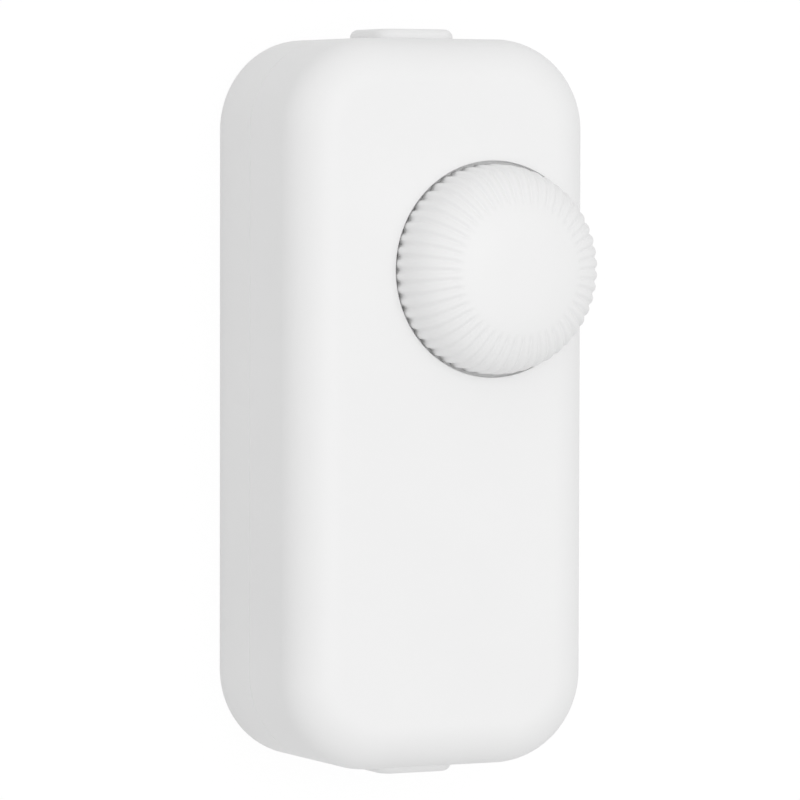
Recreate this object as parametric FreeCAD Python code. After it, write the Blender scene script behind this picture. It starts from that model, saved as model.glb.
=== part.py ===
import FreeCAD, Part
import math
import os

# In-line rotary dimmer for a lamp cord, lying on its back, in millimetres.
# X runs across the case, Y along the cord, Z out of the front. The origin is the centre of the back face.

# Case
case_length = 89.8
case_width = 40.4
case_depth = 24.4
case_corner_r = 11.3
front_edge_r = 5.6
back_edge_bevel = 0.8
wall = 2.0
parting_z = 9.8
parting_bevel = 0.2
lip_height = 1.6
lip_thickness = 0.9
lip_length = 50.0
mould_gap = 0.15
inner_bevel = 2.2

# Knob and the well that it sits in
knob_r = 12.9
knob_rise = 8.7
knob_fullness = 3.0
knob_wall = 1.5
knob_hub_r = 5.0
flute_count = 50
flute_depth = 0.45
flute_width = 0.85
knob_bands = 5
flute_bands = 3.6
well_gap = 0.42
well_shift = 0.3
well_depth = 1.1
well_floor = 1.6
well_wall = 1.5
well_side_wall = 0.85
knob_from_top = 28.3
knob_floor_gap = 0.3

# Potentiometer under the well's floor
shaft_r = 3.0
shaft_gap = 0.05
shaft_flat = 1.6
bushing_r = 3.5
bushing_rise = 1.0
hub_gap = 0.4
pot_width = 16.5
pot_plate = 1.2
wafer_thickness = 1.4
wafer_tab = 4.0
wiper_height = 0.9
wiper_gap = 0.1
rotor_width = 8.0
rotor_gap = 0.3
rotor_thickness = 2.0
pot_cover_depth = 3.8
pot_cover_wall = 0.8
leg_pitch = 5.0
leg_width = 1.2
leg_thickness = 0.5

# Cord bushes, one in each end wall
bush_width = 10.6
bush_depth = 10.8
bush_corner_r = 2.2
bush_edge_bevel = 0.8
bush_reach = 1.25
bush_axis_rise = 0.8
bush_ledge = 0.8
bush_flange = 1.6
cord_hole_r = 3.4

# Cord clamps inside each end
clamp_from_bush = 4.7
clamp_length = 4.0
clamp_thickness = 2.0
clamp_cord_r = 3.0
clamp_ridge = 0.6
clamp_hook = 2.5
clamp_hook_lip = 1.2

# Screws
case_screw_r = 1.25
case_screw_length = 12.0
case_head_r = 2.5
case_head_height = 2.0
case_head_depth = 1.0
case_boss_wall = 1.1
case_hole_spare = 1.0
case_screw_from_end = 12.0
screw_gap = 0.1

# Circuit board and what is on it
board_z = 6.0
board_thickness = 1.6
board_side_gap = 1.7
board_end_gap = 2.2
board_post = 3.0
board_hook_y = 15.0
board_hook_width = 5.0
board_hook_sheet = 1.2
board_hook_nib = 0.6
terminal_width = 8.4
terminal_length = 8.0
terminal_height = 9.0
terminal_pitch = 4.2
terminal_end_gap = 1.0
cage_width = 2.8
cage_height = 4.4
cage_wall = 0.5
cage_inset = 1.0
spring_sheet = 0.3
part_gap = 1.5
fuse_r = 2.6
fuse_length = 20.0
clip_sheet = 0.5
clip_length = 3.5
choke_core_size = 4.5
choke_core_length = 16.0
choke_winding_size = 7.6
choke_winding_length = 12.0
suppressor_size = (10.0, 9.0, 3.6)
timing_size = (4.4, 2.4, 6.5)
resistor_size = (6.4, 3.2, 1.2)
diac_size = (2.6, 4.4, 2.2)
leg_reach = 1.0
triac_width = 10.0
triac_body_length = 9.2
triac_tab_length = 6.3
triac_tab_thickness = 1.3
triac_thickness = 4.4
triac_leg_pitch = 2.54
sink_sheet = 1.2
sink_height = 9.0
sink_length = 15.8

# Worked out from the sizes above
half_width = case_width / 2
half_length = case_length / 2
inner_half_width = half_width - wall
inner_half_length = half_length - wall
well_r = knob_r + well_gap
well_x = half_width - well_side_wall - well_r
knob_x = well_x - well_shift
knob_y = half_length - knob_from_top
well_floor_z = case_depth - well_depth
well_under_z = well_floor_z - well_floor
knob_base_z = well_floor_z + knob_floor_gap
knob_top_z = case_depth + knob_rise
knob_hollow_r = knob_r - flute_depth - knob_wall
bushing_top_z = well_floor_z + bushing_rise
hub_base_z = bushing_top_z + hub_gap
flute_reach = 2 * flute_depth
knob_dome_hollow_r = knob_hollow_r - 2 * knob_wall
knob_ceiling = knob_top_z - 2 * knob_wall
wafer_top_z = well_under_z - pot_plate
wafer_under_z = wafer_top_z - wafer_thickness
rotor_top_z = wafer_under_z - wiper_gap - wiper_height
rotor_base_z = rotor_top_z - rotor_thickness
rotor_sweep = pot_width - 2 * pot_cover_wall - 2 * rotor_gap
rotor_length = math.sqrt(rotor_sweep**2 - rotor_width**2)
pot_half = pot_width / 2
cord_z = parting_z + bush_axis_rise
bush_neck_width = bush_width - 2 * bush_ledge
bush_neck_depth = bush_depth - 2 * bush_ledge
clamp_y = inner_half_length - bush_flange - clamp_from_bush
clamp_reach = clamp_cord_r + clamp_hook
clamp_seat_z = cord_z + clamp_cord_r
case_sink_r = case_head_r + screw_gap
case_boss_r = case_sink_r + case_boss_wall
case_seat_z = case_head_depth + case_head_height
case_screw_x = inner_half_width - case_boss_r - mould_gap
case_screw_y = half_length - case_screw_from_end
case_screw_places = [(-case_screw_x, case_screw_y), (case_screw_x, -case_screw_y)]
board_top = board_z + board_thickness
board_half_width = inner_half_width - board_side_gap
board_half_length = case_screw_y - case_boss_r - board_end_gap
sink_x1 = board_half_width - mould_gap
sink_x0 = sink_x1 - sink_sheet - triac_width - 2 * mould_gap
sink_y0 = -board_half_length + part_gap
triac_x = sink_x0 + mould_gap + triac_width / 2
triac_y0 = sink_y0 + mould_gap
triac_base = board_top + sink_sheet
triac_leg_y = triac_y0 + triac_tab_length + triac_body_length + leg_reach
terminal_top_x = knob_x - pot_half - part_gap - terminal_width / 2
terminal_top_y = board_half_length - terminal_end_gap - terminal_length / 2
terminal_bottom_x = sink_x0 - part_gap / 2 - terminal_width / 2
terminal_bottom_y = -terminal_top_y
pot_leg_y = knob_y - pot_half - wafer_tab / 2
fuse_x = -board_half_width + part_gap + fuse_r
fuse_y = 0.0
fuse_z = board_top + clip_sheet + screw_gap + fuse_r
choke_x = fuse_x + fuse_r + 2 * clip_sheet + choke_winding_size / 2
choke_y = -4.0


def vec(x, y, z):
    return FreeCAD.Vector(x, y, z)


def block(x0, x1, y0, y1, z0, z1):
    return Part.makeBox(x1 - x0, y1 - y0, z1 - z0, vec(x0, y0, z0))


def centred_block(x, y, z0, width, length, height):
    return block(x - width / 2, x + width / 2, y - length / 2, y + length / 2, z0, z0 + height)


def post(radius, x, y, z0, z1):
    return Part.makeCylinder(radius, z1 - z0, vec(x, y, z0))


def rod_along_y(radius, x, z, y0, y1):
    return Part.makeCylinder(radius, y1 - y0, vec(x, y0, z), vec(0, 1, 0))


# A face with four round corners, in the plane through origin that across and up span
def rounded_face(width, height, corner_r, origin, across, up):
    a = width / 2
    b = height / 2
    r = corner_r
    d = r * (1 - math.sqrt(0.5))

    def at(p, q):
        return origin + across * p + up * q

    edges = []
    for p0, q0, pm, qm, p1, q1, p2, q2 in [
        (a, b - r, a - d, b - d, a - r, b, -a + r, b),
        (-a + r, b, -a + d, b - d, -a, b - r, -a, -b + r),
        (-a, -b + r, -a + d, -b + d, -a + r, -b, a - r, -b),
        (a - r, -b, a - d, -b + d, a, -b + r, a, b - r),
    ]:
        edges.append(Part.Arc(at(p0, q0), at(pm, qm), at(p1, q1)).toShape())
        edges.append(Part.LineSegment(at(p1, q1), at(p2, q2)).toShape())
    return Part.Face(Part.Wire(edges))


def plan_block(inset, z0, z1):
    width = case_width - 2 * inset
    length = case_length - 2 * inset
    face = rounded_face(width, length, case_corner_r - inset, vec(0, 0, z0), vec(1, 0, 0), vec(0, 1, 0))
    return face.extrude(vec(0, 0, z1 - z0))


def edges_at_z(shape, z):
    return [e for e in shape.Edges if abs(e.BoundBox.ZMin - z) < 1e-6 and abs(e.BoundBox.ZMax - z) < 1e-6]


def end_bar(end, width, depth, corner_r, y0, y1):
    origin = vec(0, end * y0, cord_z)
    face = rounded_face(width, depth, corner_r, origin, vec(1, 0, 0), vec(0, 0, 1))
    return face.extrude(vec(0, end * (y1 - y0), 0))


def end_block(end, width, depth, y0, y1):
    return centred_block(0, end * (y0 + y1) / 2, cord_z - depth / 2, width, y1 - y0, depth)


# The square hole for a bush's neck, through one end wall of both halves
def bush_opening(end):
    width = bush_neck_width + 2 * mould_gap
    depth = bush_neck_depth + 2 * mould_gap
    return end_block(end, width, depth, inner_half_length - wall / 2, half_length + wall)


# Straight tongues on the back half's long sides, which the front half has room for
def lip_bars(grow):
    x0 = inner_half_width
    x1 = inner_half_width + lip_thickness + grow
    y = lip_length / 2 + grow
    z1 = parting_z + lip_height + grow
    return [block(x0, x1, -y, y, parting_z, z1), block(-x1, -x0, -y, y, parting_z, z1)]


def front_cover():
    outer = plan_block(0, parting_z, case_depth)
    outer = outer.makeFillet(front_edge_r, edges_at_z(outer, case_depth))
    hollow = plan_block(wall, parting_z, case_depth - wall)
    hollow = hollow.makeChamfer(inner_bevel, edges_at_z(hollow, case_depth - wall))
    cup = post(well_r + well_wall, well_x, knob_y, well_under_z, case_depth).common(outer)
    boss_r = case_screw_r + case_boss_wall
    bosses = [post(boss_r, x, y, parting_z, case_depth - wall) for x, y in case_screw_places]
    shell = outer.cut(hollow).fuse([cup] + bosses)
    cuts = lip_bars(mould_gap) + [bush_opening(1), bush_opening(-1)]
    hole_z = case_seat_z + case_screw_length + case_hole_spare
    for x, y in case_screw_places:
        cuts.append(post(case_screw_r + screw_gap, x, y, parting_z, hole_z))
    cuts.append(post(well_r, well_x, knob_y, well_floor_z, case_depth + wall))
    cuts.append(post(bushing_r + screw_gap, knob_x, knob_y, well_under_z, well_floor_z))
    return shell.cut(cuts).removeSplitter()


# Posts under the board's corners and a hook over each long edge
def board_supports():
    x = board_half_width - board_post / 2
    y = board_half_length - board_post / 2
    top = board_top + mould_gap + board_hook_sheet
    supports = []
    for side in (-1, 1):
        for end in (-1, 1):
            supports.append(centred_block(side * x, end * y, wall, board_post, board_post, board_z - wall))
        hook_x = side * (board_half_width + mould_gap + board_hook_sheet / 2)
        hook_y = side * board_hook_y
        nib_x = hook_x - side * board_hook_nib
        nib_z = top - board_hook_sheet
        supports.append(centred_block(hook_x, hook_y, wall, board_hook_sheet, board_hook_width, top - wall))
        nib = centred_block(nib_x, hook_y, nib_z, board_hook_sheet, board_hook_width, board_hook_sheet)
        supports.append(nib)
    return supports


# A post each side of the cord, with a slot that the clamp bar slides into
def clamp_supports(end):
    y = end * clamp_y
    top = clamp_seat_z + clamp_thickness + mould_gap + clamp_hook_lip
    posts = []
    for side in (-1, 1):
        hook = centred_block(side * clamp_reach, y, wall, 2 * clamp_hook, clamp_length, top - wall)
        slot_x = side * (clamp_reach - clamp_hook / 2)
        slot_depth = clamp_thickness + mould_gap
        posts.append(hook.cut(centred_block(slot_x, y, clamp_seat_z, clamp_hook, clamp_length, slot_depth)))
    return posts


def back_cover():
    outer = plan_block(0, 0, parting_z)
    outer = outer.makeChamfer(back_edge_bevel, edges_at_z(outer, 0))
    outer = outer.makeChamfer(parting_bevel, edges_at_z(outer, parting_z))
    shell = outer.cut(plan_block(wall, wall, parting_z))
    added = lip_bars(0) + board_supports() + clamp_supports(1) + clamp_supports(-1)
    added += [post(case_boss_r, x, y, wall, parting_z) for x, y in case_screw_places]
    cuts = [bush_opening(1), bush_opening(-1)]
    for x, y in case_screw_places:
        cuts.append(post(case_screw_r + screw_gap, x, y, 0, parting_z))
        cuts.append(post(case_sink_r, x, y, 0, case_seat_z))
    return shell.fuse(added).cut(cuts).removeSplitter()


# Radius and height at step k of the knob's rounded profile, a superellipse from its wall to its top
def knob_point(k):
    turn = math.pi / 2 * k / knob_bands
    radius = knob_r * math.cos(turn) ** (2 / knob_fullness)
    return radius, case_depth + knob_rise * math.sin(turn) ** (2 / knob_fullness)


# A blank with one flat side for each ridge: bars of the knob's profile, each turned by one pitch, in common
def knob_blank():
    right = [knob_point(k) for k in range(knob_bands)]
    left = [(-radius, z) for radius, z in reversed(right)]
    outline = [(knob_r, knob_base_z)] + right + [(0, knob_top_z)] + left + [(-knob_r, knob_base_z)]
    corners = [vec(knob_x + x, knob_y - 2 * knob_r, z) for x, z in outline]
    bar = Part.Face(Part.makePolygon(corners + corners[:1])).extrude(vec(0, 4 * knob_r, 0))
    blank = about_knob(bar, 0.5)
    for i in range(1, flute_count // 2):
        blank = blank.common(about_knob(bar, i + 0.5))
    return blank


def about_knob(shape, pitches):
    copy = shape.copy()
    copy.rotate(vec(knob_x, knob_y, 0), vec(0, 0, 1), 360.0 * pitches / flute_count)
    return copy


# One groove: straight V cuts end to end up the wall and over the shoulder, running out below the dome
def flute_tool():
    floor = [(knob_r - flute_depth, knob_base_z - knob_floor_gap)]
    for k in range(math.ceil(flute_bands) + 1):
        radius, z = knob_point(k)
        floor.append((radius - flute_depth * (1 - k / flute_bands), z))
    side = vec(0, flute_reach * flute_width / flute_depth / 2, 0)
    cuts = []
    for (r0, z0), (r1, z1) in zip(floor, floor[1:]):
        along = vec(r1 - r0, 0, z1 - z0).normalize()
        start = vec(knob_x + r0, knob_y, z0) - along * flute_depth
        mouth = start + vec(along.z, 0, -along.x) * flute_reach
        section = Part.Face(Part.makePolygon([start, mouth + side, mouth - side, start]))
        cuts.append(section.extrude(along * (math.hypot(r1 - r0, z1 - z0) + 2 * flute_depth)))
    return cuts[0].fuse(cuts[1:])


def dimmer_knob():
    groove = flute_tool()
    grooves = [about_knob(groove, i) for i in range(flute_count)]
    hollow = post(knob_hollow_r, knob_x, knob_y, knob_base_z, case_depth + knob_wall)
    dome_hollow = post(knob_dome_hollow_r, knob_x, knob_y, case_depth, knob_ceiling)
    hub = post(knob_hub_r, knob_x, knob_y, hub_base_z, knob_ceiling)
    bore = d_bar(shaft_r + shaft_gap, shaft_flat + shaft_gap, hub_base_z, knob_ceiling)
    return knob_blank().cut(grooves).cut([hollow, dome_hollow]).fuse(hub.cut(bore))


# A round bar on the knob's axis with one flat on its +X side
def d_bar(radius, flat, z0, z1):
    bar = post(radius, knob_x, knob_y, z0, z1)
    return bar.cut(block(knob_x + flat, knob_x + 2 * radius, knob_y - radius, knob_y + radius, z0, z1))


def pot_shaft():
    round_part = post(shaft_r, knob_x, knob_y, rotor_base_z, hub_base_z)
    flat_part = d_bar(shaft_r, shaft_flat, hub_base_z, knob_ceiling - hub_gap)
    rotor = centred_block(knob_x, knob_y, rotor_base_z, rotor_length, rotor_width, rotor_thickness)
    return round_part.fuse([flat_part, rotor]).removeSplitter()


def pot_wiper():
    x0 = knob_x - rotor_length / 2
    x1 = knob_x - shaft_r - hub_gap
    y0 = knob_y - rotor_width / 4
    y1 = knob_y + rotor_width / 4
    arm = block(x0, x1, y0, y1, rotor_top_z, rotor_top_z + wiper_height / 3)
    tip = block(x0, x0 + wiper_height, y0, y1, rotor_top_z, rotor_top_z + wiper_height)
    return arm.fuse(tip).removeSplitter()


def pot_wafer():
    y0 = knob_y - pot_half - wafer_tab
    wafer = block(knob_x - pot_half, knob_x + pot_half, y0, knob_y + pot_half, wafer_under_z, wafer_top_z)
    return wafer.cut(post(shaft_r + hub_gap, knob_x, knob_y, wafer_under_z, wafer_top_z))


def pot_cover():
    z1 = wafer_under_z
    z0 = z1 - pot_cover_depth
    can = centred_block(knob_x, knob_y, z0, pot_width, pot_width, z1 - z0)
    room = pot_width - 2 * pot_cover_wall
    return can.cut(centred_block(knob_x, knob_y, z0 + pot_cover_wall, room, room, z1 - z0))


def pot_bushing():
    plate = centred_block(knob_x, knob_y, wafer_top_z, pot_width, pot_width, pot_plate)
    tube = post(bushing_r, knob_x, knob_y, wafer_top_z, bushing_top_z)
    bore = post(shaft_r + shaft_gap, knob_x, knob_y, wafer_top_z, bushing_top_z)
    return plate.fuse(tube).cut(bore).removeSplitter()


def pot_leg_places():
    return [(knob_x + i * leg_pitch, pot_leg_y) for i in (-1, 0, 1)]


def pot_terminals():
    legs = []
    for x, y in pot_leg_places():
        leg = centred_block(x, y, board_z, leg_width, leg_thickness, wafer_under_z - board_z)
        foot = centred_block(x, y, wafer_under_z - leg_thickness, leg_width, wafer_tab / 2, leg_thickness)
        legs.append(leg.fuse(foot).removeSplitter())
    return Part.makeCompound(legs)


def triac_leg_places():
    return [(triac_x + i * triac_leg_pitch, triac_leg_y) for i in (-1, 0, 1)]


def circuit_board():
    x = board_half_width
    y = board_half_length
    board = block(-x, x, -y, y, board_z, board_top)
    holes = []
    for px, py in pot_leg_places() + triac_leg_places():
        width = leg_width + 2 * screw_gap
        holes.append(centred_block(px, py, board_z, width, leg_thickness + 2 * screw_gap, board_thickness))
    return board.cut(holes)


# Case screws go in from the back, so their heads point down
def case_screws():
    screws = []
    for x, y in case_screw_places:
        shank = post(case_screw_r, x, y, case_seat_z, case_seat_z + case_screw_length)
        head = post(case_head_r, x, y, case_head_depth, case_seat_z)
        screws.append(shank.fuse(head).removeSplitter())
    return Part.makeCompound(screws)


# A collar outside the end wall, a neck through it and a flange inside, round a hole for the cord
def cord_bush(end):
    y_wall = half_length + mould_gap
    y_in = inner_half_length - mould_gap
    y_face = half_length + bush_reach
    collar = end_bar(end, bush_width, bush_depth, bush_corner_r, y_wall, y_face)
    rim = [e for e in collar.Edges if abs(e.CenterOfMass.y - end * y_face) < 1e-6]
    collar = collar.makeChamfer(bush_edge_bevel, rim)
    neck = end_block(end, bush_neck_width, bush_neck_depth, y_in, y_wall)
    flange = end_block(end, bush_width, bush_depth, y_in - bush_flange, y_in)
    ends = sorted([end * (y_in - bush_flange), end * y_face])
    return collar.fuse([neck, flange]).cut(rod_along_y(cord_hole_r, 0, cord_z, *ends)).removeSplitter()


# A flat bar across the cord with two gripping ridges under it
def cord_clamp(end):
    y = end * clamp_y
    bar = centred_block(0, y, clamp_seat_z, 2 * (clamp_reach - mould_gap), clamp_length, clamp_thickness)
    ridges = []
    ridge_width = 2 * clamp_cord_r - clamp_ridge
    for side in (-1, 1):
        ridge_y = y + side * (clamp_length / 2 - clamp_ridge)
        ridge_z = clamp_seat_z - clamp_ridge
        ridges.append(centred_block(0, ridge_y, ridge_z, ridge_width, clamp_ridge, clamp_ridge))
    return bar.fuse(ridges).removeSplitter()


def terminal_places():
    places = []
    for x, y in ((terminal_top_x, terminal_top_y), (terminal_bottom_x, terminal_bottom_y)):
        places += [(x - terminal_pitch / 2, y), (x + terminal_pitch / 2, y)]
    return places


def terminal_block(x, y):
    body = centred_block(x, y, board_top, terminal_width, terminal_length, terminal_height)
    slots = []
    cage_z = board_top + cage_inset
    for side in (-1, 1):
        px = x + side * terminal_pitch / 2
        width = cage_width + screw_gap
        slots.append(centred_block(px, y, cage_z, width, terminal_length, cage_height + screw_gap))
        release = cage_z + cage_height
        slots.append(centred_block(px, y, release, cage_width / 2, cage_width, terminal_height))
    return body.cut(slots)


def terminal_cages():
    cages = []
    length = terminal_length - 2 * cage_inset
    room = cage_width - 2 * cage_wall
    for x, y in terminal_places():
        z = board_top + cage_inset + screw_gap / 2
        cage = centred_block(x, y, z, cage_width, length, cage_height)
        hole = centred_block(x, y, z + cage_wall, room, length, cage_height - 2 * cage_wall)
        cages.append(cage.cut(hole))
    return Part.makeCompound(cages)


# Leaf springs under the cages' tops, which press on the wires
def terminal_springs():
    length = terminal_length - 2 * cage_inset
    z = board_top + cage_inset + screw_gap / 2 + cage_height - cage_wall - spring_sheet
    width = cage_width - 2 * cage_wall - screw_gap
    springs = [centred_block(x, y, z, width, length, spring_sheet) for x, y in terminal_places()]
    return Part.makeCompound(springs)


def fuse():
    return rod_along_y(fuse_r, fuse_x, fuse_z, fuse_y - fuse_length / 2, fuse_y + fuse_length / 2)


# Folded sheet cradles that hold the fuse by its end caps
def fuse_clips():
    clips = []
    width = 2 * (fuse_r + screw_gap + clip_sheet)
    for end in (-1, 1):
        y = fuse_y + end * (fuse_length - clip_length) / 2
        clip = centred_block(fuse_x, y, board_top, width, clip_length, clip_sheet + 2 * fuse_r)
        room_width = width - 2 * clip_sheet
        room = centred_block(fuse_x, y, board_top + clip_sheet, room_width, clip_length, 2 * fuse_r)
        clips.append(clip.cut(room))
    return Part.makeCompound(clips)


def choke_core():
    z0 = board_top + (choke_winding_size - choke_core_size) / 2
    return centred_block(choke_x, choke_y, z0, choke_core_size, choke_core_length, choke_core_size)


def choke_winding():
    size = choke_winding_size
    coil = centred_block(choke_x, choke_y, board_top, size, choke_winding_length, size)
    room = choke_core_size + 2 * screw_gap
    z0 = board_top + (size - room) / 2
    return coil.cut(centred_block(choke_x, choke_y, z0, room, choke_winding_length, room))


def resistors():
    width, length, height = resistor_size
    x = -board_half_width + part_gap + width / 2
    y = -board_half_length + part_gap + length / 2
    low = centred_block(x, y, board_top, width, length, height)
    high = centred_block(x, y + length + part_gap, board_top, width, length, height)
    return Part.makeCompound([low, high])


def diac():
    y = choke_y + choke_core_length / 2 + part_gap + diac_size[1] / 2
    return centred_block(choke_x, y, board_top, *diac_size)


def timing_capacitors():
    width, length, height = timing_size
    x = sink_x0 + width / 2
    y = triac_leg_y + part_gap + length
    near = centred_block(x, y, board_top, width, length, height)
    far = centred_block(x + width + part_gap, y, board_top, width, length, height)
    return Part.makeCompound([near, far])


# Laid flat on the board under the potentiometer
def suppression_capacitor():
    return centred_block(knob_x, knob_y, board_top, *suppressor_size)


# A folded aluminium sheet under the triac, with one edge turned up
def heat_sink():
    y1 = sink_y0 + sink_length
    flat = block(sink_x0, sink_x1, sink_y0, y1, board_top, board_top + sink_sheet)
    fin = block(sink_x1 - sink_sheet, sink_x1, sink_y0, y1, board_top, board_top + sink_height)
    return flat.fuse(fin).removeSplitter()


def triac():
    x0 = triac_x - triac_width / 2
    x1 = triac_x + triac_width / 2
    y1 = triac_y0 + triac_tab_length
    y2 = y1 + triac_body_length
    tab = block(x0, x1, triac_y0, y1, triac_base, triac_base + triac_tab_thickness)
    pieces = [block(x0, x1, y1, y2, triac_base, triac_base + triac_thickness)]
    leg_z = triac_base + triac_thickness / 2
    for x, y in triac_leg_places():
        x2 = x - leg_width / 2
        reach = block(x2, x2 + leg_width, y2, y + leg_thickness / 2, leg_z, leg_z + leg_thickness)
        drop = centred_block(x, y, board_z, leg_width, leg_thickness, leg_z + leg_thickness - board_z)
        pieces += [reach, drop]
    return tab.fuse(pieces).removeSplitter()


nodes = {
    "front_cover": front_cover(),
    "back_cover": back_cover(),
    "dimmer_knob": dimmer_knob(),
    "cord_bush_top": cord_bush(1),
    "cord_bush_bottom": cord_bush(-1),
    "case_screws": case_screws(),
    "pot_shaft": pot_shaft(),
    "pot_wiper": pot_wiper(),
    "pot_wafer": pot_wafer(),
    "pot_cover": pot_cover(),
    "pot_bushing": pot_bushing(),
    "pot_terminals": pot_terminals(),
    "circuit_board": circuit_board(),
    "triac": triac(),
    "heat_sink": heat_sink(),
    "diac": diac(),
    "resistors": resistors(),
    "timing_capacitors": timing_capacitors(),
    "suppression_capacitor": suppression_capacitor(),
    "choke_core": choke_core(),
    "choke_winding": choke_winding(),
    "fuse": fuse(),
    "fuse_clips": fuse_clips(),
    "terminal_block_top": terminal_block(terminal_top_x, terminal_top_y),
    "terminal_block_bottom": terminal_block(terminal_bottom_x, terminal_bottom_y),
    "terminal_cages": terminal_cages(),
    "terminal_springs": terminal_springs(),
    "cord_clamp_top": cord_clamp(1),
    "cord_clamp_bottom": cord_clamp(-1),
}

os.makedirs("parts", exist_ok=True)
for name, shape in nodes.items():
    shape.exportStep("parts/" + name + ".step")
    print(name, len(shape.Solids), "solids", round(shape.Volume, 1), "mm3", "valid", shape.isValid())
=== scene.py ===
import math
import bmesh
import bpy
import numpy as np
from mathutils import Matrix, Vector


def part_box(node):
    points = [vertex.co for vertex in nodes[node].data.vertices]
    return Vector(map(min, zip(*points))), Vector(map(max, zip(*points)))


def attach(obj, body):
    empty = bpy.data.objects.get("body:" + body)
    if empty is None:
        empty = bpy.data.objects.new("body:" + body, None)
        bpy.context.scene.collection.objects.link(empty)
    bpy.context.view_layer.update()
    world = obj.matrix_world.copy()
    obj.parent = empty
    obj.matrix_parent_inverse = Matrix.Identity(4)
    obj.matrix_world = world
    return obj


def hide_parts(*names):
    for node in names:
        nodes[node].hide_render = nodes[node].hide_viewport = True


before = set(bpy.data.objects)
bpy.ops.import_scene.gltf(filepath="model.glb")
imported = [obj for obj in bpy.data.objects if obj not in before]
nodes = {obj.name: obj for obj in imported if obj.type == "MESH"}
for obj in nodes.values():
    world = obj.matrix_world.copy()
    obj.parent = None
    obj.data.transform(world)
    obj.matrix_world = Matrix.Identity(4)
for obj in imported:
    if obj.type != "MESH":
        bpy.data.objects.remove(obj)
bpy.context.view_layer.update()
mm = 0.001
print("stage: frame loaded")


def linear(hexColour):
    # sRGB hex to linear light
    parts = [int(hexColour[i:i + 2], 16) / 255 for i in (1, 3, 5)]
    return [p / 12.92 if p <= 0.04045 else ((p + 0.055) / 1.055) ** 2.4 for p in parts] + [1.0]


def addNode(tree, kind, settings, links):
    # one shader node: settings name its properties or its inputs, links give the socket that feeds an input
    node = tree.nodes.new(kind)
    for key, value in settings.items():
        if isinstance(key, str) and hasattr(node, key):
            setattr(node, key, value)
        else:
            node.inputs[key].default_value = value
    for key, socket in links.items():
        tree.links.new(socket, node.inputs[key])
    return node


def makeMaterial(name, look):
    # two tones and two roughnesses mixed by a soft cloud, and a fine grain as bump; their sizes are in mm
    material = bpy.data.materials.new(name)
    material.use_nodes = True
    tree = material.node_tree
    tree.nodes.clear()
    place = addNode(tree, "ShaderNodeTexCoord", {}, {}).outputs["Object"]
    scale = look.get("stretch", (1, 1, 1))
    stretched = addNode(tree, "ShaderNodeMapping", {"Scale": scale}, {"Vector": place}).outputs["Vector"]
    cloud = addNode(
        tree, "ShaderNodeTexNoise",
        {"Scale": 1 / (look["cloud"] * mm), "Detail": 3.0, "Roughness": 0.55},
        {"Vector": stretched},
    )
    grain = addNode(
        tree, "ShaderNodeTexNoise",
        {"Scale": 1 / (look["grain"] * mm), "Detail": 2.0, "Roughness": 0.6},
        {"Vector": stretched},
    )
    tone = addNode(  # inputs 6 and 7 are the two colours, output 2 is the mixed one
        tree, "ShaderNodeMix",
        {"data_type": "RGBA", 6: linear(look["colours"][0]), 7: linear(look["colours"][1])},
        {0: cloud.outputs["Fac"]},
    )
    rough = addNode(
        tree, "ShaderNodeMapRange",
        {"To Min": look["rough"][0], "To Max": look["rough"][1]},
        {"Value": cloud.outputs["Fac"]},
    )
    bump = addNode(
        tree, "ShaderNodeBump",
        {"Strength": look["bump"], "Distance": look["relief"] * mm},
        {"Height": grain.outputs["Fac"]},
    )
    shader = addNode(
        tree, "ShaderNodeBsdfPrincipled",
        look.get("shader", {}),
        {
            "Base Color": tone.outputs[2], "Roughness": rough.outputs["Result"],
            "Normal": bump.outputs["Normal"],
        },
    )
    addNode(tree, "ShaderNodeOutputMaterial", {}, {"Surface": shader.outputs["BSDF"]})
    return material


meshing = {"merge": 0.002 * mm, "sliver": 0.001 * mm, "crisp": math.radians(38)}  # steeper edges stay crisp


def makePiece(name, grids, material, body, replaced):
    # a grid is rows of points: each row closes into a ring, and a closed grid's last row meets its first;
    # poles and seams close when doubles merge
    corners, quads, base = [], [], 0
    for points, closed in grids:
        rows, columns = points.shape[:2]
        index = base + np.arange(rows * columns).reshape(rows, columns)
        index = np.vstack([index, index[:1]]) if closed else index
        low, high = index[:-1], index[1:]
        quads.append(np.stack([low, np.roll(low, -1, 1), np.roll(high, -1, 1), high], -1).reshape(-1, 4))
        corners.append(points.reshape(-1, 3))
        base += rows * columns
    corners, quads = np.concatenate(corners), np.concatenate(quads)
    mesh = bpy.data.meshes.new(name)
    mesh.vertices.add(len(corners))
    mesh.vertices.foreach_set("co", corners.ravel())
    mesh.loops.add(quads.size)
    mesh.loops.foreach_set("vertex_index", quads.ravel())
    mesh.polygons.add(len(quads))
    mesh.polygons.foreach_set("loop_start", np.arange(0, quads.size, 4))
    mesh.update(calc_edges=True)
    work = bmesh.new()
    work.from_mesh(mesh)
    bmesh.ops.remove_doubles(work, verts=work.verts, dist=meshing["merge"])
    bmesh.ops.dissolve_degenerate(work, edges=work.edges, dist=meshing["sliver"])
    bmesh.ops.recalc_face_normals(work, faces=work.faces)
    work.to_mesh(mesh)
    work.free()
    mesh.shade_smooth()
    mesh.set_sharp_from_angle(angle=meshing["crisp"])
    mesh.materials.append(material)
    piece = bpy.data.objects.new(name, mesh)
    bpy.context.scene.collection.objects.link(piece)
    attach(piece, body)
    if replaced:
        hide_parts(replaced)


def onPlan(plan, z):
    # rows of plan points, each at one height or at a height per point
    plan = np.asarray(plan, float)
    z = np.broadcast_to(np.asarray(z, float), plan.shape[:-1])
    return np.concatenate([plan, z[..., None]], -1)


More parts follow.
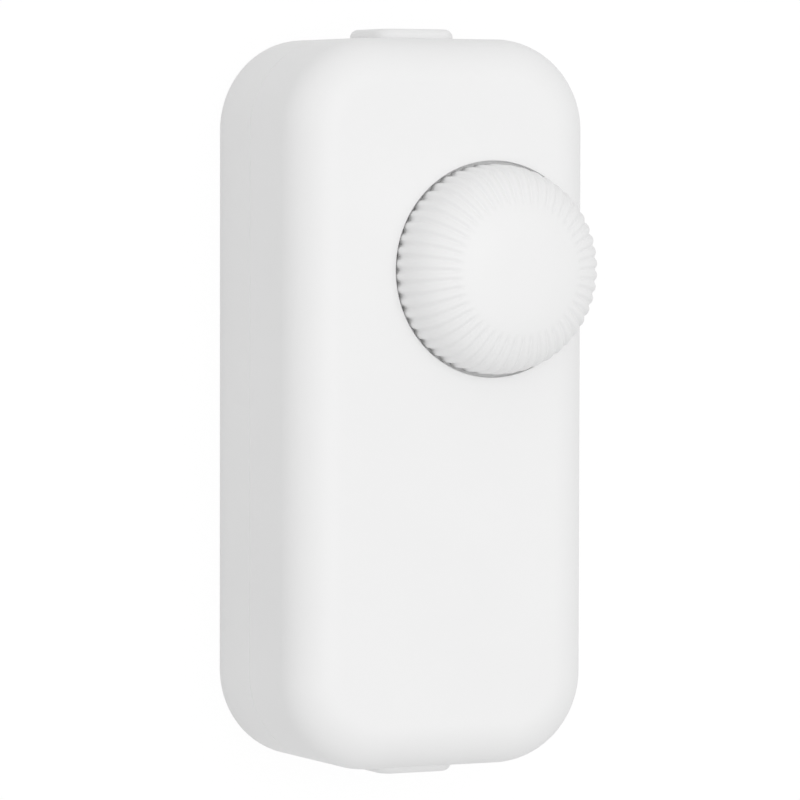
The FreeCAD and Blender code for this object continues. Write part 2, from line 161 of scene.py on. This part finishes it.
def turned(profile, centre, columns):
    # a profile of (radius, height) turned round an upright axis
    angle = np.linspace(0, 2 * np.pi, columns, endpoint=False)
    profile = np.asarray(profile, float)
    ring = np.stack([np.cos(angle), np.sin(angle)], -1)
    return onPlan(np.asarray(centre) + profile[:, None, :1] * ring, profile[:, 1:])


def boxGrid(low, high):
    # a plain block as four rows: a pole, the bottom ring, the top ring and a pole
    x0, y0, z0 = low
    x1, y1, z1 = high
    ring = np.array([(x0, y0), (x1, y0), (x1, y1), (x0, y1)], float)
    middle = np.repeat(ring.mean(0)[None], 4, 0)
    return onPlan(np.stack([middle, ring, ring, middle]), np.array([z0, z0, z1, z1])[:, None])


def bentBarGrid(inner, outer, side, y0, y1):
    # a flat bar bent in the plane of X and Z: sections from its inner to its outer corners, and a pole in
    # each end
    plan = np.stack([inner, outer, outer, inner], 1) * [side, 1]
    rows = np.insert(plan, 1, [y0, y0, y1, y1], -1)
    first, last = (np.repeat(rows[i].mean(0)[None], 4, 0) for i in (0, -1))
    return np.stack([first, *rows, last])


def roundedLoop(halfX, halfY, radius, slotHalf, counts):
    # a rounded rectangle, anticlockwise from its +X side, with doubled points where an end's slot begins:
    # its points, their outward directions, and which of them lie in a slot
    sideCount, cornerCount, runCount, slotCount = counts
    a, b = halfX - radius, halfY - radius
    turn = np.linspace(0, np.pi / 2, cornerCount, endpoint=False)

    def run(x0, y0, x1, y1, count, last):
        t = np.linspace(0, 1, count, endpoint=last)
        return np.stack([x0 + (x1 - x0) * t, y0 + (y1 - y0) * t], -1)

    stretches = [
        run(halfX, 0, halfX, b, sideCount, False),
        np.stack([a + radius * np.cos(turn), b + radius * np.sin(turn)], -1),
        run(a, halfY, slotHalf, halfY, runCount, True),
        run(slotHalf, halfY, -slotHalf, halfY, slotCount, True),
        run(-slotHalf, halfY, -a, halfY, runCount, False),
        np.stack([-a - radius * np.sin(turn), b + radius * np.cos(turn)], -1),
        run(-halfX, b, -halfX, 0, sideCount, False),
    ]
    slotStretch = 3  # the run across the slot, in the list above
    upper = np.concatenate(stretches)
    slotted = np.concatenate([np.full(len(s), i == slotStretch) for i, s in enumerate(stretches)])
    points = np.concatenate([upper, -upper])
    outward = (points - np.clip(points, [-a, -b], [a, b])) / radius
    return points, outward, np.concatenate([slotted, slotted])


def quarterTurn(count):
    # angles of a quarter circle, in even steps after its start
    return np.linspace(0, np.pi / 2, count + 1)[1:]


def between(first, last, count):
    # rows of points that pass evenly from one ring to the next
    t = np.linspace(0, 1, count)[:, None, None]
    return first + (last - first) * t


# White ABS, moulded in a finely blasted mould: an even satin, with a hardly seen cloud in its tone.
caseLook = {
    "colours": ("#F2F2F2", "#EFEFEF"), "rough": (0.50, 0.56), "cloud": 14.0,
    "grain": 0.35, "bump": 0.06, "relief": 0.02,  # the real grain, about 0.05 mm, is drawn coarser to show
    "shader": {"IOR": 1.53},
}
caseWhite = makeMaterial("mouldedAbsWhite", caseLook)
# The knob is ABS too, from a smoother mould, and a touch glossier. The bushes are nylon, moulded in the same
# white, and a touch duller.
knobWhite = makeMaterial("mouldedAbsKnob", {**caseLook, "rough": (0.48, 0.54), "cloud": 9.0})
bushWhite = makeMaterial("mouldedNylonBush", {**caseLook, "rough": (0.55, 0.6)})
print("stage: white plastics made")

# Case: both halves follow one rounded rectangle.
frontLow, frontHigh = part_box("front_cover")
knobLow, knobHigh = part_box("dimmer_knob")
screwLow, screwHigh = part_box("case_screws")
bushLow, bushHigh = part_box("cord_bush_top")
case = {
    "halfX": frontHigh.x, "halfY": frontHigh.y, "depth": frontHigh.z, "parting": frontLow.z,
    "corner": 11.3 * mm, "edge": 5.6 * mm, "backEdge": 0.8 * mm, "wall": 2.0 * mm,
    "partingBevel": 0.2 * mm, "rim": 0.08 * mm, "innerBevel": 2.2 * mm,
    "tongue": 0.9 * mm, "tongueRise": 1.6 * mm, "tongueHalf": 25.0 * mm, "gap": 0.15 * mm,
    "slotHalf": 4.65 * mm, "slotLow": 5.85 * mm, "slotHigh": 15.35 * mm,
    "counts": (72, 44, 12, 24),  # points along half a side, a corner, and an end beside and across its slot
    "faceRows": 80, "sideRows": 6, "backEdgeRows": 6, "backSideRows": 4,
}
knobAxis = np.array([(knobLow.x + knobHigh.x) / 2, (knobLow.y + knobHigh.y) / 2])
well = {
    "radius": 13.32 * mm, "floor": 23.3 * mm, "under": 21.7 * mm, "wall": 1.5 * mm, "hole": 3.6 * mm,
    "shift": np.array([0.3 * mm, 0]),  # the well stands a little to the right of the knob's axis
    # rows of its floor as shares of the radius, and of its wall as shares of the height
    "floorReach": np.append([0.5, 0.8], np.linspace(0.9, 1, 26)), "wallReach": np.linspace(0.1, 1, 5),
    "rimRows": 5,
}
wellAxis = knobAxis + well["shift"]
outline, outward, slotted = roundedLoop(
    case["halfX"], case["halfY"], case["corner"], case["slotHalf"], case["counts"]
)
innerLine = outline - case["wall"] * outward


def faceHeight(plan):
    # quarter-circle edge: height = depth - r + sqrt(r^2 - (r - d)^2), at a distance d inside the outline
    reach = np.abs(plan) - [case["halfX"] - case["corner"], case["halfY"] - case["corner"]]
    beyond = np.linalg.norm(np.maximum(reach, 0), axis=-1) + np.minimum(reach.max(-1), 0)
    d = np.clip(case["corner"] - beyond, 0, case["edge"])
    return case["depth"] - case["edge"] + np.sqrt(np.maximum(case["edge"] ** 2 - (case["edge"] - d) ** 2, 0))


def frontCoverGrid():
    # every column runs out on a ray from the well's axis: floor, wall, rim, face, rounded edge, side, and
    # back along the inside
    span = np.linalg.norm(outline - wellAxis, axis=1)
    ray = (outline - wellAxis) / span[:, None]
    rim, radius = case["rim"], well["radius"]

    def ring(reach):
        return wellAxis + ray * np.broadcast_to(np.asarray(reach, float), span.shape)[:, None]

    lip = faceHeight(ring(radius + rim))
    # the wall and its rim run out where the rounded edge dips below the well's floor
    rim = rim * np.clip((lip - well["floor"]) / (2 * rim), 0, 1)
    foot = np.minimum(well["floor"], lip)
    hole = ring(well["hole"]) - well["shift"]
    rows = [onPlan(hole, well["floor"])]
    for reach in well["floorReach"] * radius:
        rows.append(onPlan(ring(reach), np.minimum(well["floor"], faceHeight(ring(reach)))))
    rows += [onPlan(ring(radius), foot + (lip - rim - foot) * s) for s in well["wallReach"]]
    for turn in quarterTurn(well["rimRows"]):
        rows.append(onPlan(ring(radius + rim * (1 - np.cos(turn))), lip - rim * (1 - np.sin(turn))))
    for s in np.linspace(0, 1, case["faceRows"] + 1)[1:]:
        plan = ring(radius + rim + (span - radius - rim) * (1 - (1 - s) ** 2))
        rows.append(onPlan(plan, faceHeight(plan)))
    top = case["depth"] - case["edge"]
    low = np.where(slotted, case["slotHigh"], case["parting"])
    rows += [onPlan(outline, top + (low - top) * s) for s in np.linspace(0, 1, case["sideRows"] + 1)[1:]]
    cup = radius + well["wall"]
    blocked = np.linalg.norm(innerLine - wellAxis, axis=1) < cup
    ceiling = np.where(blocked, well["under"], case["depth"] - case["wall"])
    bevel = np.where(blocked, 0, case["innerBevel"])
    cupRing = np.where(blocked[:, None], innerLine, ring(cup))
    # room for the back's tongues
    beside = np.abs(outline[:, 1]) < case["tongueHalf"] + 2 * case["gap"]
    room = innerLine + outward * (beside * (case["tongue"] + case["gap"]))[:, None]
    roomTop = np.where(beside, case["parting"] + case["tongueRise"] + case["gap"], low)
    rows += [onPlan(room, low), onPlan(room, roomTop), onPlan(innerLine, roomTop)]
    rows += [onPlan(innerLine, ceiling - bevel), onPlan(innerLine - outward * bevel[:, None], ceiling)]
    rows += [onPlan(cupRing, ceiling), onPlan(cupRing, well["under"]), onPlan(hole, well["under"])]
    return np.stack(rows)


# Screw bosses: a hole in each for a screw from the back, at opposite corners.
screws = {
    "head": 2.5 * mm, "hole": 1.35 * mm, "sink": 2.6 * mm, "seat": 3.0 * mm, "mouth": 0.2 * mm,
    "backBoss": 3.7 * mm, "frontBoss": 2.35 * mm, "frontHole": 16.0 * mm, "bossColumns": 40,
}
upperLeft = np.array([screwLow.x + screws["head"], screwHigh.y - screws["head"]])
screwPlaces = [upperLeft, -upperLeft]
bossProfile = [
    (screws["hole"], case["parting"]), (screws["frontBoss"], case["parting"]),
    (screws["frontBoss"], case["depth"] - case["wall"]), (0, case["depth"] - case["wall"]),
    (0, screws["frontHole"]), (screws["hole"], screws["frontHole"]),
]
bosses = [(turned(bossProfile, place, screws["bossColumns"]), True) for place in screwPlaces]
makePiece("frontShell", [(frontCoverGrid(), True)] + bosses, caseWhite, "case", "front_cover")
print("stage: front shell made")

# Back: a floor in two halves, each laid out round its screw hole, and a wall round them.
backFloor = {"middlePoints": 80, "insideRows": 8, "mouthRows": 4, "underRows": 12}


def backHalfGrid():
    # floor of one half of the back, in rays from its screw hole to the half outline and the middle line
    count = len(outline) // 2
    along = np.linspace(-1, 1, backFloor["middlePoints"] + 1)[:-1]
    middle = np.stack([along, np.zeros_like(along)], -1)
    underLine = outline - case["backEdge"] * outward
    low = np.concatenate([underLine[:count], middle * (case["halfX"] - case["backEdge"])])
    inside = np.concatenate([innerLine[:count], middle * (case["halfX"] - case["wall"])])
    centre = screwPlaces[0]

    def ring(radius, line):
        ray = line - centre
        return centre + radius * ray / np.linalg.norm(ray, axis=1)[:, None]

    parting, seat, mouth, sink = case["parting"], screws["seat"], screws["mouth"], screws["sink"]
    boss = ring(screws["backBoss"], inside)
    rows = [onPlan(row, case["wall"]) for row in between(inside, boss, backFloor["insideRows"])]
    rows += [onPlan(boss, parting), onPlan(ring(screws["hole"], inside), parting)]
    rows += [onPlan(ring(screws["hole"], low), seat), onPlan(ring(sink, low), seat)]
    rows.append(onPlan(ring(sink, low), mouth))
    for turn in quarterTurn(backFloor["mouthRows"]):
        rows.append(onPlan(ring(sink + mouth * (1 - np.cos(turn)), low), mouth * (1 - np.sin(turn))))
    rows += [onPlan(row, 0) for row in between(ring(sink + mouth, low), low, backFloor["underRows"])[1:]]
    return np.stack(rows)


def backWallGrid():
    # strip round the back's outline: rounded bottom edge, side, small bevel at the joint, and the inside
    edge, bevel = case["backEdge"], case["partingBevel"]
    high = np.where(slotted, case["slotLow"], case["parting"])
    rows = [onPlan(outline - outward * edge, 0)]
    for turn in quarterTurn(case["backEdgeRows"]):
        rows.append(onPlan(outline - outward * edge * (1 - np.sin(turn)), edge * (1 - np.cos(turn))))
    for s in np.linspace(0, 1, case["backSideRows"] + 1)[1:]:
        rows.append(onPlan(outline, edge + (high - bevel - edge) * s))
    rows += [onPlan(outline - outward * bevel, high), onPlan(innerLine, high)]
    rows.append(onPlan(innerLine, case["wall"]))
    return np.stack(rows)


# Inside the back: a tongue along each side, a post under each corner of the board, a hook over each of its
# long edges, and two hooked posts for each clamp.
boardLow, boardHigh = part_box("circuit_board")
rib = {
    "post": 3.0 * mm, "gap": 0.15 * mm,
    "hook": 1.2 * mm, "hookHalf": 2.5 * mm, "hookY": 15.0 * mm, "nib": 0.6 * mm,
    "clampNear": 3.0 * mm, "clampBack": 5.5 * mm, "clampFar": 8.0 * mm,
    "ridge": 0.6 * mm,  # the gripping ridges hang this far under the clamp's bar
}
ribs = []
for side in (-1, 1):
    for end in (-1, 1):
        corner = np.array([side * (boardHigh.x - rib["post"] / 2), end * (boardHigh.y - rib["post"] / 2)])
        low, high = corner - rib["post"] / 2, corner + rib["post"] / 2
        ribs.append(boxGrid([*low, case["wall"]], [*high, boardLow.z]))
    near, top = boardHigh.x + rib["gap"], boardHigh.z + rib["gap"]
    tip, far, crown = near - rib["nib"], near + rib["hook"], top + rib["hook"]
    ribs.append(bentBarGrid(
        [(near, case["wall"]), (near, top), (tip, top)],
        [(far, case["wall"]), (far, crown), (tip, crown)],
        side, side * rib["hookY"] - rib["hookHalf"], side * rib["hookY"] + rib["hookHalf"],
    ))
    inside = case["halfX"] - case["wall"]
    xs = sorted([side * inside, side * (inside + case["tongue"])])
    ribs.append(boxGrid(
        [xs[0], -case["tongueHalf"], case["parting"]],
        [xs[1], case["tongueHalf"], case["parting"] + case["tongueRise"]],
    ))
for clamp in ("cord_clamp_top", "cord_clamp_bottom"):
    low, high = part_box(clamp)
    seat, top = low.z + rib["ridge"], high.z + rib["gap"]
    near, back, far = rib["clampNear"], rib["clampBack"], rib["clampFar"]
    for side in (-1, 1):
        ribs.append(bentBarGrid(
            [(near, seat), (back, seat), (back, top), (near, top)],
            [(near, case["wall"]), (far, case["wall"]), (far, top + rib["hook"]), (near, top + rib["hook"])],
            side, low.y, high.y,
        ))
backHalf = backHalfGrid()
shells = [(backHalf, False), (backHalf * [-1, -1, 1], False), (backWallGrid(), False)]
makePiece("backShell", shells, caseWhite, "case", "back_cover")
makePiece("backRibs", [(r, False) for r in ribs], caseWhite, "case", None)
print("stage: back shell made")

# Knob: a superellipse dome with grooves up its wall that run out where its smooth top begins.
knob = {
    "radius": 12.9 * mm, "base": knobLow.z, "face": case["depth"], "rise": knobHigh.z - case["depth"],
    "fullness": 3.0, "flutes": 50, "perFlute": 18, "depth": 0.38 * mm, "narrowness": 3,
    # share of the grooves' depth that is left, at values of t in degrees
    "fadeAt": (0, 3, 12, 35, 55, 62), "fade": (1, 0.85, 0.72, 0.7, 0.6, 0),
    "domeRows": 72, "skirtRows": 6,
    "hollow": 10.95 * mm, "hollowTop": 25.9 * mm, "dome": 7.95 * mm, "domeTop": 30.1 * mm,
    "hub": 5.0 * mm, "hubBase": 24.7 * mm, "bore": 3.05 * mm, "flat": 1.65 * mm,
}


def knobGrid():
    # outside: radius = R cos(t)^(2/n), height = H sin(t)^(2/n), sunk along its normal by a groove of
    # depth * |cos(N angle / 2)|^narrowness that grows shallow up the wall and ends at the smooth top
    angle = np.linspace(0, 2 * np.pi, knob["flutes"] * knob["perFlute"], endpoint=False)
    ring = np.stack([np.cos(angle), np.sin(angle)], -1)
    groove = knob["depth"] * np.abs(np.cos(knob["flutes"] * angle / 2)) ** knob["narrowness"]
    rows = []
    n = knob["fullness"]
    for t in np.linspace(np.pi / 2, 0, knob["domeRows"]):
        out, up = max(math.cos(t), 0) ** (2 / n), math.sin(t) ** (2 / n)
        normal = Vector((out ** (n - 1) / knob["radius"], up ** (n - 1) / knob["rise"])).normalized()
        sunk = groove * np.interp(math.degrees(t), knob["fadeAt"], knob["fade"])
        radius = knob["radius"] * out - sunk * normal.x
        height = knob["face"] + knob["rise"] * up - sunk * normal.y
        rows.append(onPlan(knobAxis + radius[:, None] * ring, height))
    for height in np.linspace(knob["face"], knob["base"], knob["skirtRows"] + 1)[1:]:
        rows.append(onPlan(knobAxis + (knob["radius"] - groove)[:, None] * ring, height))
    inner = [
        (knob["hollow"], knob["base"]), (knob["hollow"], knob["hollowTop"]),
        (knob["dome"], knob["hollowTop"]), (knob["dome"], knob["domeTop"]),
        (knob["hub"], knob["domeTop"]), (knob["hub"], knob["hubBase"]),
    ]
    rows += [onPlan(knobAxis + radius * ring, height) for radius, height in inner]
    bore = np.stack([np.minimum(knob["bore"] * ring[:, 0], knob["flat"]), knob["bore"] * ring[:, 1]], -1)
    rows += [onPlan(knobAxis + bore, knob["hubBase"]), onPlan(knobAxis + bore, knob["domeTop"])]
    rows.append(onPlan(knobAxis + 0 * bore, knob["domeTop"]))  # the pole that closes the bore
    return np.stack(rows)


makePiece("flutedKnob", [(knobGrid(), False)], knobWhite, "knob", "dimmer_knob")
print("stage: knob made")

# Cord bushes: rounded-square collars outside the end walls, a neck through the wall and a flange inside.
bush = {
    "halfX": bushHigh.x, "halfZ": (bushHigh.z - bushLow.z) / 2, "centreZ": (bushHigh.z + bushLow.z) / 2,
    "corner": 2.2 * mm, "edge": 1.0 * mm, "hole": 3.4 * mm, "mouth": 0.3 * mm, "ledge": 0.8 * mm,
    "face": bushHigh.y, "inner": bushLow.y,
    "clearOut": 0.03 * mm, "clearIn": 0.15 * mm,  # room outside and inside the case's wall, round the neck
    "counts": (12, 14, 6, 8), "middleHalf": 1.0 * mm,  # points round the square, as for the case
    "mouthRows": 5, "faceRows": 7, "edgeRows": 6,
}


def bushGrid(end):
    # rings of a rounded square or a circle, placed along the cord's line
    square, out = roundedLoop(
        bush["halfX"], bush["halfZ"], bush["corner"], bush["middleHalf"], bush["counts"]
    )[:2]
    circle = square / np.linalg.norm(square, axis=1)[:, None]
    neck = square - out * bush["ledge"]
    edge, mouth, hole, face = bush["edge"], bush["mouth"], bush["hole"], bush["face"]
    wallOut = case["halfY"] + bush["clearOut"]
    wallIn = case["halfY"] - case["wall"] - bush["clearIn"]
    rings = [(hole * circle, bush["inner"]), (hole * circle, face - mouth)]
    for turn in quarterTurn(bush["mouthRows"]):
        rings.append(((hole + mouth * (1 - np.cos(turn))) * circle, face - mouth * (1 - np.sin(turn))))
    flat = between((hole + mouth) * circle, square - out * edge, bush["faceRows"])
    rings += [(row, face) for row in flat[1:]]
    for turn in quarterTurn(bush["edgeRows"]):
        rings.append((square - out * edge * (1 - np.sin(turn)), face - edge * (1 - np.cos(turn))))
    rings += [(square, wallOut), (neck, wallOut), (neck, wallIn), (square, wallIn), (square, bush["inner"])]
    return np.stack([
        np.stack([ring[:, 0], np.full(len(ring), end * along), bush["centreZ"] + ring[:, 1]], -1)
        for ring, along in rings
    ])


makePiece("cordBushTop", [(bushGrid(1), True)], bushWhite, "case", "cord_bush_top")
makePiece("cordBushBottom", [(bushGrid(-1), True)], bushWhite, "case", "cord_bush_bottom")
print("stage: bushes made")

# Steel, zinc plated in a barrel and passivated: bright and slightly mottled.
metal = {"Metallic": 1.0}
zincSteel = makeMaterial("zincPlatedSteel", {
    "colours": ("#C9CCD0", "#B4B8BD"), "rough": (0.28, 0.42), "cloud": 1.2,
    "grain": 0.2, "bump": 0.08, "relief": 0.02, "shader": metal,
})
screw = {
    "radius": screws["head"], "face": screwLow.z, "round": 0.25 * mm,
    "shank": 1.25 * mm, "tip": screwHigh.z, "cone": 1.2 * mm,
    "arm": 0.42 * mm, "reach": 1.45 * mm, "recess": 1.1 * mm,
    "draft": 0.12 * mm, "fall": 1.25,  # width of the recess's sloping walls, and how steeply its floor rises
    "columns": 120, "faceRows": 44, "roundRows": 4,
}


def screwGrid(place):
    # pan head with a cross recess, whose depth falls from the middle to the ends of four arms; then the shank
    # and its cone
    angle = np.linspace(0, 2 * np.pi, screw["columns"], endpoint=False)
    ring = np.stack([np.cos(angle), np.sin(angle)], -1)
    flat = screw["radius"] - screw["round"]
    rows = []
    for radius in np.linspace(0, flat, screw["faceRows"]):
        plan = radius * ring
        across = np.abs(plan).min(-1)
        wall = np.clip((screw["arm"] - across) / screw["draft"], 0, 1)
        depth = screw["recess"] * np.clip(screw["fall"] * (1 - radius / screw["reach"]), 0, 1) * wall
        rows.append(onPlan(place + plan, screw["face"] + depth))
    for turn in quarterTurn(screw["roundRows"]):
        radius = flat + screw["round"] * math.sin(turn)
        rows.append(onPlan(place + radius * ring, screw["face"] + screw["round"] * (1 - math.cos(turn))))
    rest = [
        (screw["radius"], screws["seat"]), (screw["shank"], screws["seat"]),
        (screw["shank"], screw["tip"] - screw["cone"]), (0, screw["tip"]),
    ]
    rows += [onPlan(place + radius * ring, height) for radius, height in rest]
    return np.stack(rows)


screwGrids = [(screwGrid(place), False) for place in screwPlaces]
makePiece("caseScrews", screwGrids, zincSteel, "case", "case_screws")
print("stage: screws made")

# Inner pieces keep their CAD meshes. Each look says what the surface is, how it was made and how it looks.
innerLooks = {
    # glass-filled nylon, moulded: a matt grey with a faint mottle
    "mouldedGreyNylon": (
        ["terminal_block_top", "terminal_block_bottom", "cord_clamp_top", "cord_clamp_bottom"],
        {
            "colours": ("#8F9499", "#80858B"), "rough": (0.5, 0.6), "cloud": 3.0,
            "grain": 0.3, "bump": 0.1, "relief": 0.03,
        },
    ),
    # natural acetal, moulded: smooth, off-white and a little waxy
    "mouldedAcetalShaft": (
        ["pot_shaft"],
        {
            "colours": ("#E4E2DA", "#D8D5CB"), "rough": (0.35, 0.45), "cloud": 3.0,
            "grain": 0.3, "bump": 0.08, "relief": 0.02,
        },
    ),
    # phenolic paper, pressed in sheets and punched: brown, with a fibre that runs one way
    "phenolicWafer": (
        ["pot_wafer"],
        {
            "colours": ("#7A5230", "#6A4526"), "rough": (0.45, 0.6), "cloud": 2.0,
            "grain": 0.25, "bump": 0.15, "relief": 0.03, "stretch": (1, 4, 1),
        },
    ),
    # steel sheet, drawn or punched and then zinc plated: bright, with a soft mottle
    "zincPlatedSheet": (
        ["pot_cover", "pot_bushing", "terminal_springs"],
        {
            "colours": ("#C4C8CC", "#B0B5BB"), "rough": (0.3, 0.45), "cloud": 2.0,
            "grain": 0.2, "bump": 0.08, "relief": 0.02, "shader": metal,
        },
    ),
    # brass, punched and dipped in tin: a warm silver, slightly uneven
    "tinnedBrass": (
        ["pot_terminals", "fuse_clips"],
        {
            "colours": ("#CBC8BC", "#BAB6A8"), "rough": (0.25, 0.4), "cloud": 1.0,
            "grain": 0.2, "bump": 0.1, "relief": 0.02, "shader": metal,
        },
    ),
    # bare brass, stamped: yellow, a little tarnished
    "stampedBrass": (
        ["terminal_cages", "pot_wiper"],
        {
            "colours": ("#C9A557", "#B48F45"), "rough": (0.25, 0.4), "cloud": 1.0,
            "grain": 0.2, "bump": 0.1, "relief": 0.02, "shader": metal,
        },
    ),
    # paper laminate, pressed and sawn: tan, with a fibre along the board
    "paperLaminate": (
        ["circuit_board"],
        {
            "colours": ("#B98C4E", "#A87B40"), "rough": (0.4, 0.55), "cloud": 6.0,
            "grain": 0.4, "bump": 0.1, "relief": 0.02, "stretch": (1, 5, 1),
        },
    ),
    # black epoxy, moulded round the chip: matt and finely pitted
    "blackEpoxy": (
        ["triac", "diac", "resistors"],
        {
            "colours": ("#26272A", "#1D1E20"), "rough": (0.5, 0.65), "cloud": 1.5,
            "grain": 0.15, "bump": 0.15, "relief": 0.02,
        },
    ),
    # aluminium sheet, rolled and folded: silver, with the rolling lines along it
    "rolledAluminium": (
        ["heat_sink"],
        {
            "colours": ("#C6C8CA", "#B2B5B8"), "rough": (0.3, 0.45), "cloud": 1.5,
            "grain": 0.3, "bump": 0.12, "relief": 0.02, "stretch": (6, 0.6, 6), "shader": metal,
        },
    ),
    # blue epoxy, dipped: a smooth gloss
    "dippedBlueEpoxy": (
        ["timing_capacitors"],
        {
            "colours": ("#2F5FA8", "#264F90"), "rough": (0.25, 0.35), "cloud": 1.5,
            "grain": 0.4, "bump": 0.08, "relief": 0.03,
        },
    ),
    # yellow polyester box, moulded and potted: a flat satin
    "pottedYellowBox": (
        ["suppression_capacitor"],
        {
            "colours": ("#D8B23A", "#CBA32E"), "rough": (0.4, 0.5), "cloud": 3.0,
            "grain": 0.3, "bump": 0.08, "relief": 0.02,
        },
    ),
    # ferrite, pressed and fired: dark grey, dull and grainy
    "firedFerrite": (
        ["choke_core"],
        {
            "colours": ("#3A3B3D", "#2E2F31"), "rough": (0.6, 0.75), "cloud": 1.0,
            "grain": 0.2, "bump": 0.25, "relief": 0.03,
        },
    ),
    # copper wire, enamelled and wound in layers: glossy red-brown bands round the core
    "enamelledCopper": (
        ["choke_winding"],
        {
            "colours": ("#B0643A", "#8F4A28"), "rough": (0.25, 0.4), "cloud": 0.8,
            "grain": 0.5, "bump": 0.5, "relief": 0.1, "stretch": (0.2, 2.5, 0.2),
            "shader": {"Metallic": 0.8},
        },
    ),
    # glass, drawn as a tube: clear, with a faint haze
    "drawnGlass": (
        ["fuse"],
        {
            "colours": ("#DDE6E4", "#CBD6D4"), "rough": (0.05, 0.12), "cloud": 3.0,
            "grain": 0.5, "bump": 0.03, "relief": 0.02, "shader": {"Transmission Weight": 0.7, "IOR": 1.5},
        },
    ),
}
for name, (members, look) in innerLooks.items():
    finish = makeMaterial(name, look)
    for member in members:
        for slot in nodes[member].material_slots:
            slot.material = finish
print("stage: inner pieces finished")


def seenDirectly(tree):
    # 1 for camera, mirror and glass rays, which see the background white; 0 for light that the object gets
    rays = addNode(tree, "ShaderNodeLightPath", {}, {}).outputs
    larger = {"operation": "MAXIMUM"}
    seen = addNode(tree, "ShaderNodeMath", larger, {0: rays["Is Camera Ray"], 1: rays["Is Glossy Ray"]})
    seen = addNode(tree, "ShaderNodeMath", larger, {0: seen.outputs[0], 1: rays["Is Transmission Ray"]})
    return seen.outputs[0]


# Floor: matt white paper, which looks white to the camera and keeps a faint shadow of the object.
floorLook = {"colour": "#DFDFDF", "glow": 1.04, "share": 0.9, "half": 2.0, "height": -0.02 * mm}
floorMesh = bpy.data.meshes.new("floor")
floorCorners = floorLook["half"] * np.array([(-1, -1), (1, -1), (1, 1), (-1, 1)])
floorMesh.from_pydata(onPlan(floorCorners, floorLook["height"]), [], [(0, 1, 2, 3)])
floor = bpy.data.objects.new("floor", floorMesh)
bpy.context.scene.collection.objects.link(floor)
paper = bpy.data.materials.new("whitePaper")
paper.use_nodes = True
tree = paper.node_tree
tree.nodes.clear()
share = addNode(
    tree, "ShaderNodeMath", {"operation": "MULTIPLY", 1: floorLook["share"]}, {0: seenDirectly(tree)}
)
matt = addNode(tree, "ShaderNodeBsdfDiffuse", {"Color": linear(floorLook["colour"])}, {})
glow = addNode(tree, "ShaderNodeEmission", {"Strength": floorLook["glow"]}, {})
mixed = addNode(
    tree, "ShaderNodeMixShader", {}, {0: share.outputs[0], 1: matt.outputs[0], 2: glow.outputs[0]}
)
addNode(tree, "ShaderNodeOutputMaterial", {}, {"Surface": mixed.outputs[0]})
floorMesh.materials.append(paper)

# Light: a white room, a little lighter towards the top end and the left side, and one large soft lamp above.
# The room is at full white for what the camera sees directly.
light = {
    "room": 0.718, "slope": (-0.06, 0.10, 0), "white": 1.0,
    "lamp": 0.25, "size": 0.9, "from": Vector((0.0, 0.04, 1.0)),
}
world = bpy.data.worlds.new("whiteRoom")
bpy.context.scene.world = world
world.use_nodes = True
tree = world.node_tree
tree.nodes.clear()
# light from a direction: the room's level, plus the slope times how far the direction leans its way;
# in a world, Object coordinates are that direction
towards = addNode(tree, "ShaderNodeTexCoord", {}, {}).outputs["Object"]
uneven = addNode(tree, "ShaderNodeVectorMath", {"operation": "DOT_PRODUCT", 1: light["slope"]}, {0: towards})
level = addNode(tree, "ShaderNodeMath", {"operation": "ADD", 1: light["room"]}, {0: uneven.outputs["Value"]})
strength = addNode(
    tree, "ShaderNodeMix",
    {"data_type": "FLOAT", "B": light["white"]},
    {"Factor": seenDirectly(tree), "A": level.outputs[0]},
)
sky = addNode(tree, "ShaderNodeBackground", {"Color": (1, 1, 1, 1)}, {"Strength": strength.outputs[0]})
addNode(tree, "ShaderNodeOutputWorld", {}, {"Surface": sky.outputs[0]})
lampData = bpy.data.lights.new("softLamp", "AREA")
lampData.shape = "DISK"
lampData.size = light["size"]
# watts for this level of light at the origin: level * pi^2 * (distance^2 + radius^2)
lampData.energy = light["lamp"] * math.pi ** 2 * (light["from"].length_squared + (light["size"] / 2) ** 2)
lamp = bpy.data.objects.new("softLamp", lampData)
lampTurn = light["from"].to_track_quat("Z", "Y").to_matrix().to_4x4()  # facing the object
lamp.matrix_world = Matrix.Translation(light["from"]) @ lampTurn
bpy.context.scene.collection.objects.link(lamp)

# Camera: above the front, a little to its left and towards the top end, as the photo was taken.
view = {
    "yaw": math.radians(25.80), "rise": math.radians(2.617), "roll": math.radians(-0.118),
    "distance": 666.3 * mm, "lens": 240.74, "sensor": 36.0, "near": 10 * mm,
    "aimHeight": 12 * mm, "aimLeft": 0.655 * mm, "aimUp": 0.105 * mm,
}
flatShare = math.cos(view["rise"])
back = Vector((-math.sin(view["yaw"]) * flatShare, math.sin(view["rise"]), math.cos(view["yaw"]) * flatShare))
right = Vector((0, 1, 0)).cross(back).normalized()
up = back.cross(right)
aim = Vector((0, 0, view["aimHeight"])) - right * view["aimLeft"] + up * view["aimUp"]
across = right * math.cos(view["roll"]) - up * math.sin(view["roll"])
upward = right * math.sin(view["roll"]) + up * math.cos(view["roll"])
cameraData = bpy.data.cameras.new("camera")
cameraData.sensor_width = view["sensor"]
cameraData.lens = view["lens"]
cameraData.clip_start = view["near"]
camera = bpy.data.objects.new("camera", cameraData)
cameraTurn = Matrix((across, upward, back)).transposed().to_4x4()
camera.matrix_world = Matrix.Translation(aim + back * view["distance"]) @ cameraTurn
bpy.context.scene.collection.objects.link(camera)
bpy.context.scene.camera = camera
bpy.context.scene.view_settings.view_transform = "Standard"
print("stage: light and camera set")
